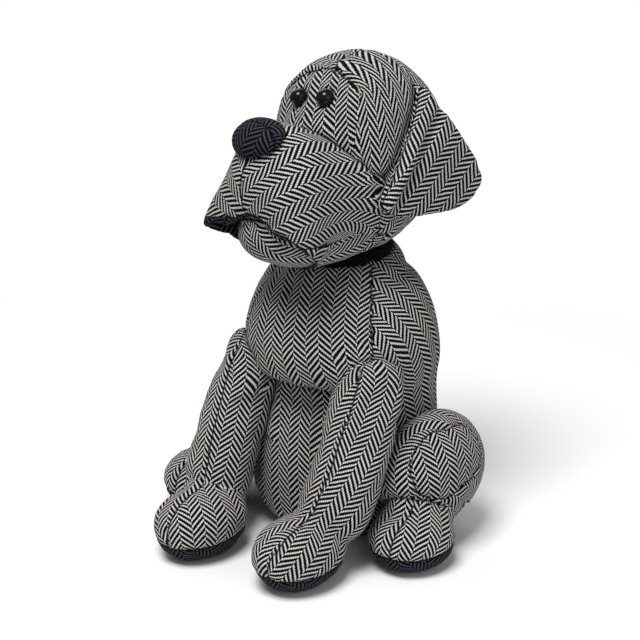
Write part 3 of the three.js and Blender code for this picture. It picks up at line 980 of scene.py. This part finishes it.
def bead_piece(side):
    corners = points_of(frame["nodes"][f"{side}_eye"].data)
    low, high = corners.min(0), corners.max(0)
    centre = (low + high) / 2 + BEAD["proud"] * head_direction(0, 0.95, 0.3)
    radius = BEAD["fullness"] * (high - low).max() / 2
    work = bmesh.new()
    bmesh.ops.create_uvsphere(work, u_segments=48, v_segments=24, radius=radius * MM)
    bmesh.ops.translate(work, verts=work.verts, vec=Vector(centre) * MM)
    mesh = bpy.data.meshes.new(f"{side}_eye_bead")
    work.to_mesh(mesh)
    work.free()
    return new_object(mesh.name, mesh)


# Seams that don't show, because the cloth runs on or a soft fold takes their place.
NEAR_FOLD = 1.2


def temple_seams(points):
    """Down each temple the cloth runs on."""
    h = in_head(points)
    return (np.abs(h[:, 0]) > FOREHEAD["temple"] - 2) & (h[:, 2] > CHIN["top"] + 3)


def ankle_points(points):
    return (np.abs(plane(*ANKLE)(points)) < NEAR_FOLD) & (points[:, 2] > 20)


def crease_points(sign):
    return lambda points: (np.abs(foot_crease(sign)(points)) < NEAR_FOLD) & (points[:, 2] > 17)


# Folds that the pieces have besides their seams, as a step for each point.

ANKLE_FOLD = {"deep": 1.3, "wide": 2.6, "back": -78}
FOOT_FOLD = {"deep": 1.8, "wide": 2.4, "back": -14}
BELLY_CREASE = {"deep": 3.0, "wide": 3.2, "back": -22}
BELLY_SWELL = {"deep": -2.0, "wide": 6, "up": 9}
CHEST_PINCH = {"place": (-8.5, -37.4, 155.5), "deep": 2.6, "wide": 2.6, "squeeze": (1, 0.3, 0.6)}
EAR_EDGE = {"top": (-18, 32), "foot": (24, -21)}
EAR_ROLL = {"deep": -1.6, "wide": 3.4, "behind": 4.0}
EAR_VALLEY = {"deep": 2.2, "wide": 3.4, "behind": 11.0, "from_rim": 5}
EAR_TUCK = {"deep": 2.0, "wide": 3.0, "ahead": 1.5, "from_side": 30, "fade": 8}
CROWN_LEDGE = {"high": 0.65, "sharp": 1.2, "long": 6.0}
EYE_DIMPLE = {"deep": 2.6, "wide": 6.5}
EYE_RAYS = {"count": 7, "deep": 0.35, "from_eye": 8, "wide": 4}
JOWL_CORNER = {"place": (-33, 82, -28), "reach": 9, "size": 13, "way": (-0.55, 0.75, -0.25)}
SLACK = {"deep": 0.5, "size": 13.0, "seed": 41, "squeeze": (0.5, 0.5, 1.6)}
FRONT_FADE = 3

EYE_PLACES = [points_of(frame["nodes"][f"{side}_eye"].data).mean(0) for side, _ in SIDES]


def groove(distance, fold, normals):
    """A groove where the distance is zero. One that is deep by less than nothing stands out."""
    return -normals * (fold["deep"] * np.exp(-((distance / fold["wide"]) ** 2)))[:, None]


def ahead_of(points, back):
    """1 in front of a place, 0 behind it."""
    return 1 / (1 + np.exp((points[:, 1] - back) / FRONT_FADE))[:, None]


def behind_ear_edge(h):
    """How far points lie behind the line of an ear's front edge."""
    top, foot = np.array(EAR_EDGE["top"]), np.array(EAR_EDGE["foot"])
    run = (foot - top) / np.linalg.norm(foot - top)
    return (h[:, 1] - top[0]) * run[1] - (h[:, 2] - top[1]) * run[0]


def head_folds(points, normals, from_seam):
    """The crown's cloth stands out over the forehead's at their seam, the skull is drawn in before the
    ears, and the eyes' shanks make dimples with creases that run out from them."""
    h = in_head(points)
    above = h[:, 2] - arch(h)
    ahead = (h[:, 1] > FOREHEAD["back"]) & (np.abs(h[:, 0]) < FOREHEAD["temple"])
    ledge = CROWN_LEDGE["high"] * np.tanh(above / CROWN_LEDGE["sharp"])
    ledge *= np.exp(-np.abs(above) / CROWN_LEDGE["long"])
    step = normals * np.where(ahead, ledge, 0)[:, None]
    aside = np.clip((np.abs(h[:, 0]) - EAR_TUCK["from_side"]) / EAR_TUCK["fade"], 0, 1)
    step += groove(behind_ear_edge(h) + EAR_TUCK["ahead"], EAR_TUCK, normals) * aside[:, None]
    for place in EYE_PLACES:
        distance = np.linalg.norm(points - place, axis=1)
        local = h - in_head(place[None, :])
        around = np.arctan2(local[:, 2], local[:, 0])
        deep = EYE_DIMPLE["deep"] * np.exp(-((distance / EYE_DIMPLE["wide"]) ** 2))
        ring = np.exp(-(((distance - EYE_RAYS["from_eye"]) / EYE_RAYS["wide"]) ** 2))
        rays = EYE_RAYS["deep"] * np.cos(EYE_RAYS["count"] * around) * ring
        step -= normals * (deep + rays)[:, None]
    return step


def muzzle_folds(points, normals, from_seam):
    """The corner of the right jowl, which stands out at the hem."""
    corner = np.linalg.norm(in_head(points) - np.array(JOWL_CORNER["place"]), axis=1)
    pull = JOWL_CORNER["reach"] * np.exp(-((corner / JOWL_CORNER["size"]) ** 2))
    return pull[:, None] * head_direction(*JOWL_CORNER["way"])


def ear_folds(points, normals, from_seam):
    """The roll along an ear's front edge, and the valley between it and the flap."""
    behind = behind_ear_edge(in_head(points))
    inside = 1 - np.exp(-((from_seam / EAR_VALLEY["from_rim"]) ** 2))
    roll = groove(behind - EAR_ROLL["behind"], EAR_ROLL, normals)
    valley = groove(behind - EAR_VALLEY["behind"], EAR_VALLEY, normals)
    return roll + valley * inside[:, None]


def left_sleeve_folds(points, normals, from_seam):
    """Slack cloth: long shallow creases that lie across a sleeve."""
    wave = noise_at(points * np.array(SLACK["squeeze"]), SLACK["size"], SLACK["seed"])
    return normals * (SLACK["deep"] * wave)[:, None]


def right_sleeve_folds(points, normals, from_seam):
    """The same, and the fold over the right paw, in front only."""
    fold = groove(plane(*ANKLE)(points), ANKLE_FOLD, normals) * ahead_of(points, ANKLE_FOLD["back"])
    return left_sleeve_folds(points, normals, from_seam) + fold


def hind_folds(sign):
    def folds(points, normals, from_seam):
        return groove(foot_crease(sign)(points), FOOT_FOLD, normals) * ahead_of(points, FOOT_FOLD["back"])

    return folds


def torso_folds(points, normals, from_seam):
    """The crease where the chest hangs over the belly, and a pinch in the chest's cloth."""
    height = points[:, 2] - CHEST["belly"]
    crease = groove(height, BELLY_CREASE, normals) + groove(height - BELLY_SWELL["up"], BELLY_SWELL, normals)
    aside = (points - np.array(CHEST_PINCH["place"])) * np.array(CHEST_PINCH["squeeze"])
    pinch = groove(np.linalg.norm(aside, axis=1), CHEST_PINCH, normals)
    return crease * ahead_of(points, BELLY_CREASE["back"]) + pinch


# Shadows: painted shade in hollows, as dark as a seam. Each gives a distance as from a seam, by a share
# of the true one.

BELLY_SHADOW = {"above": 0.5, "below": 0.2, "least": 0.35, "back": -25}
EAR_SHADOW = {"share": 0.35, "least": 0.3, "from_side": 34, "past": 4}
FOOT_SHADOW = {"share": 0.6, "least": 0.3, "low": 17, "back": -22, "fade": 0.12}


def belly_shadow(points):
    """Painted shade in the crease under the chest."""
    up = points[:, 2] - CHEST["belly"]
    away = np.where(up > 0, BELLY_SHADOW["above"], BELLY_SHADOW["below"]) * np.abs(up)
    return np.where(points[:, 1] < BELLY_SHADOW["back"], away + BELLY_SHADOW["least"], NO_SEAM_OR_SHADE)


def ear_shadow(points):
    """Painted shade where the skull is drawn in before an ear's front edge."""
    h = in_head(points)
    first = EAR_EDGE["top"][0] - EAR_SHADOW["past"]
    last = EAR_EDGE["foot"][0] + EAR_SHADOW["past"]
    beside = (np.abs(h[:, 0]) > EAR_SHADOW["from_side"]) & (h[:, 1] > first) & (h[:, 1] < last)
    away = np.abs(behind_ear_edge(h) + EAR_TUCK["ahead"]) * EAR_SHADOW["share"]
    return np.where(beside, away + EAR_SHADOW["least"], NO_SEAM_OR_SHADE)


def foot_shadow(sign):
    """Painted shade in the fold between thigh and foot, that fades towards the back."""

    def shadow(points):
        away = np.abs(foot_crease(sign)(points)) * FOOT_SHADOW["share"] + FOOT_SHADOW["least"]
        fade = FOOT_SHADOW["fade"] * np.maximum(points[:, 1] - FOOT_SHADOW["back"], 0)
        return np.where(points[:, 2] > FOOT_SHADOW["low"], away + fade, NO_SEAM_OR_SHADE)

    return shadow


# Making: a piece is an object, its panels' labels and their grains. Its place in the list seeds its noise.

PUFFED = ["torso", "head", "left_front", "right_front", "left_hind", "right_hind"]
COARSE = ("muzzle", "base", "bag")
JOINS = {"head": [(FACE_PANEL, LEFT_CROWN_PANEL, head_point(34, 27, 15))]}
UNSEEN = {
    "head": temple_seams,
    "right_front": ankle_points,
    "left_hind": crease_points(1),
    "right_hind": crease_points(-1),
}
FOLDS = {
    "torso": torso_folds,
    "head": head_folds,
    "muzzle": muzzle_folds,
    "left_front": left_sleeve_folds,
    "right_front": right_sleeve_folds,
    "left_hind": hind_folds(1),
    "right_hind": hind_folds(-1),
    "left_ear": ear_folds,
    "right_ear": ear_folds,
}
SHADOWS = {
    "torso": belly_shadow,
    "head": ear_shadow,
    "left_hind": foot_shadow(1),
    "right_hind": foot_shadow(-1),
}
OWN_SEWING = {
    "head": {"gather": 0.7, "groove": 0.55, "groove_wide": 1.2},
    "muzzle": {"gather": 0.3, "groove": 0.6},
    "nose": {"gather": 0.3},
    "base": {"gather": 0.2},
    "bag": {"gather": 0.4},
    "left_ear": {"gather": 0.4},
    "right_ear": {"gather": 0.4},
}
SHOULDER = {"reach": 14.0, "above": 60}
CHEEK = {"reach": 12.0, "above": -28}


def all_pieces():
    pieces = {"torso": torso_piece(), "tail": tail_piece(), "head": head_piece(), "muzzle": muzzle_piece()}
    pieces["nose"] = nose_piece()
    pieces["base"] = base_piece()
    pieces["bag"] = bag_piece()
    for side, sign in SIDES:
        pieces[f"{side}_front"] = front_leg_piece(side, sign)
        pieces[f"{side}_hind"] = hind_leg_piece(side, sign)
        pieces[f"{side}_ear"] = ear_piece(side, sign)
    return pieces


def puff(pieces):
    """Lets the large pieces swell between their seams."""
    for key in PUFFED:
        mesh = pieces[key][0].data
        held = np.array(seam_points(mesh))
        if key in UNSEEN:
            held = held[~UNSEEN[key](points_of(mesh)[held])]
        add_cloth(pieces[key][0], held)
    simulate([pieces[key][0] for key in PUFFED])


def sew_all(pieces):
    for place, (key, (obj, panels, grains)) in enumerate(pieces.items()):
        unwrap(obj, grains, panels, JOINS.get(key, ()))
        subdivided(obj, 1 if key in COARSE else 2)
        sew(obj, place * 10 + 3, OWN_SEWING.get(key), FOLDS.get(key), UNSEEN.get(key), SHADOWS.get(key))
    torso = pieces["torso"][0]
    for side, _ in SIDES:
        leg = pieces[f"{side}_front"][0]
        drawn_together(leg, torso, SHOULDER["reach"], lambda p: p[:, 2] > SHOULDER["above"])
    muzzle, head = pieces["muzzle"][0], pieces["head"][0]
    drawn_together(muzzle, head, CHEEK["reach"], lambda p: in_head(p)[:, 2] > CHEEK["above"])


def finish_piece(obj, material, nodes):
    """Shades a piece smooth with its material, hangs it on the root body, and hides the CAD nodes it stands
    for.
    """
    mesh = obj.data
    mesh.polygons.foreach_set("use_smooth", [True] * len(mesh.polygons))
    mesh.update()
    mesh.materials.clear()
    mesh.materials.append(material)
    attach(obj, "root")
    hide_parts(*nodes)


def part_off(piece, label, name):
    """The faces of one panel of a piece, as a piece of their own."""
    obj, panels, _ = piece
    return split_off(obj, name, panels.index(label))


def finish_all(pieces):
    cloth = herringbone("cloth", CREAM, NAVY)
    dark_cloth = herringbone("dark_cloth", CHARCOAL, DARK)
    # A copy of the dark cloth with little weave, as painted shade for the collar's shadow under the head.
    shaded_collar_cloth = herringbone("shaded_collar_cloth", CHARCOAL, DARK, contrast=COLLAR_SHADED_CONTRAST)
    bead = bead_material()
    for side, _ in SIDES:
        for place in ("front", "hind"):
            leg = pieces[f"{side}_{place}"]
            sole = part_off(leg, SOLE_PANEL, f"{side}_{place}_sole_cloth")
            finish_piece(leg[0], cloth, [f"{side}_{place}_leg"])
            finish_piece(sole, dark_cloth, [f"{side}_{place}_sole"])
        finish_piece(pieces[f"{side}_ear"][0], cloth, [f"{side}_ear"])
        finish_piece(bead_piece(side), bead, [f"{side}_eye"])
    lining = part_off(pieces["muzzle"], LINING_PANEL, "jowl_lining_cloth")
    collar = part_off(pieces["torso"], COLLAR_PANEL, "neck_cloth")
    finish_piece(pieces["muzzle"][0], cloth, ["muzzle"])
    finish_piece(lining, dark_cloth, ["jowl_lining"])
    finish_piece(pieces["torso"][0], cloth, ["torso"])
    finish_piece(collar, shaded_collar_cloth, ["neck_band"])
    for key in ("tail", "head"):
        finish_piece(pieces[key][0], cloth, [key])
    finish_piece(pieces["nose"][0], dark_cloth, ["nose"])
    finish_piece(pieces["base"][0], cloth, ["base_panel"])
    finish_piece(pieces["bag"][0], sacking_material(), ["weight_bag"])


# Stage: places and sizes here are in metres.

FLOOR_HALF = 0.5
FLOOR_GLOW = (0.28, 0.47)
WORLD_LIGHT = 0.21
LAMP_TARGET = (0, 0, 0.15)
# A lamp's place, its size and its watts.
LAMPS = {
    "key": ((0.1, -0.9, 2.1), 1.0, 46),
    "fill": ((1.5, -0.5, 0.8), 1.4, 5),
    "rim": ((-1.2, 0.9, 1.2), 1.2, 8),
}
WHITE = (1, 1, 1, 1)


def floor():
    """A pale floor that glows as white as the background towards its edges, so that no edge shows."""
    mesh = bpy.data.meshes.new("floor")
    corners = [(x * FLOOR_HALF, y * FLOOR_HALF, 0) for x, y in ((-1, -1), (1, -1), (1, 1), (-1, 1))]
    mesh.from_pydata(corners, [], [(0, 1, 2, 3)])
    obj = new_object("floor", mesh)
    n = Nodes(bpy.data.materials.new("floor_paint"))
    place = n.add("ShaderNodeTexCoord").outputs["Object"]
    colour = n.mix(n.noise(place, 3.0), (0.95, 0.95, 0.95), (0.97, 0.97, 0.97))
    paint = n.add("ShaderNodeBsdfDiffuse", {"Color": colour}).outputs[0]
    white = n.add("ShaderNodeEmission", {"Color": WHITE, "Strength": 1.0}).outputs[0]
    away = n.add("ShaderNodeVectorMath", {0: place}, operation="LENGTH").outputs["Value"]
    glow = n.step(away, *FLOOR_GLOW)
    mesh.materials.append(n.finished({0: glow, 1: paint, 2: white}, "ShaderNodeMixShader"))


def lamp(name, place, size, watts):
    light = bpy.data.lights.new(name, "AREA")
    light.energy = watts
    light.size = size
    obj = new_object(name, light)
    obj.location = place
    obj.rotation_euler = (Vector(LAMP_TARGET) - Vector(place)).to_track_quat("-Z", "Y").to_euler()


def world():
    """A soft light from all round, before a background that the camera sees white."""
    n = Nodes(bpy.data.worlds.new("studio"))
    bpy.context.scene.world = n.owner
    seen = n.add("ShaderNodeLightPath").outputs["Is Camera Ray"]
    light = n.add("ShaderNodeBackground", {"Color": WHITE, "Strength": WORLD_LIGHT}).outputs[0]
    white = n.add("ShaderNodeBackground", {"Color": WHITE, "Strength": 1.0}).outputs[0]
    mixed = n.add("ShaderNodeMixShader", {0: seen, 1: light, 2: white}).outputs[0]
    n.add("ShaderNodeOutputWorld", {"Surface": mixed})


def camera():
    azimuth = math.radians(CAMERA["azimuth"])
    elevation = math.radians(CAMERA["elevation"])
    level = math.cos(elevation)
    back = Vector((math.sin(azimuth) * level, -math.cos(azimuth) * level, math.sin(elevation)))
    data = bpy.data.cameras.new("camera")
    data.lens = CAMERA["lens"]
    data.sensor_width = 36
    data.clip_end = 100
    obj = new_object("camera", data)
    obj.location = (Vector(CAMERA["target"]) + back * CAMERA["distance"]) * MM
    obj.rotation_euler = (-back).to_track_quat("-Z", "Y").to_euler()
    bpy.context.scene.camera = obj


dog = all_pieces()
puff(dog)
sew_all(dog)
finish_all(dog)

floor()
world()
camera()
for lamp_name, settings in LAMPS.items():
    lamp(lamp_name, *settings)
bpy.context.scene.view_settings.view_transform = "Standard"
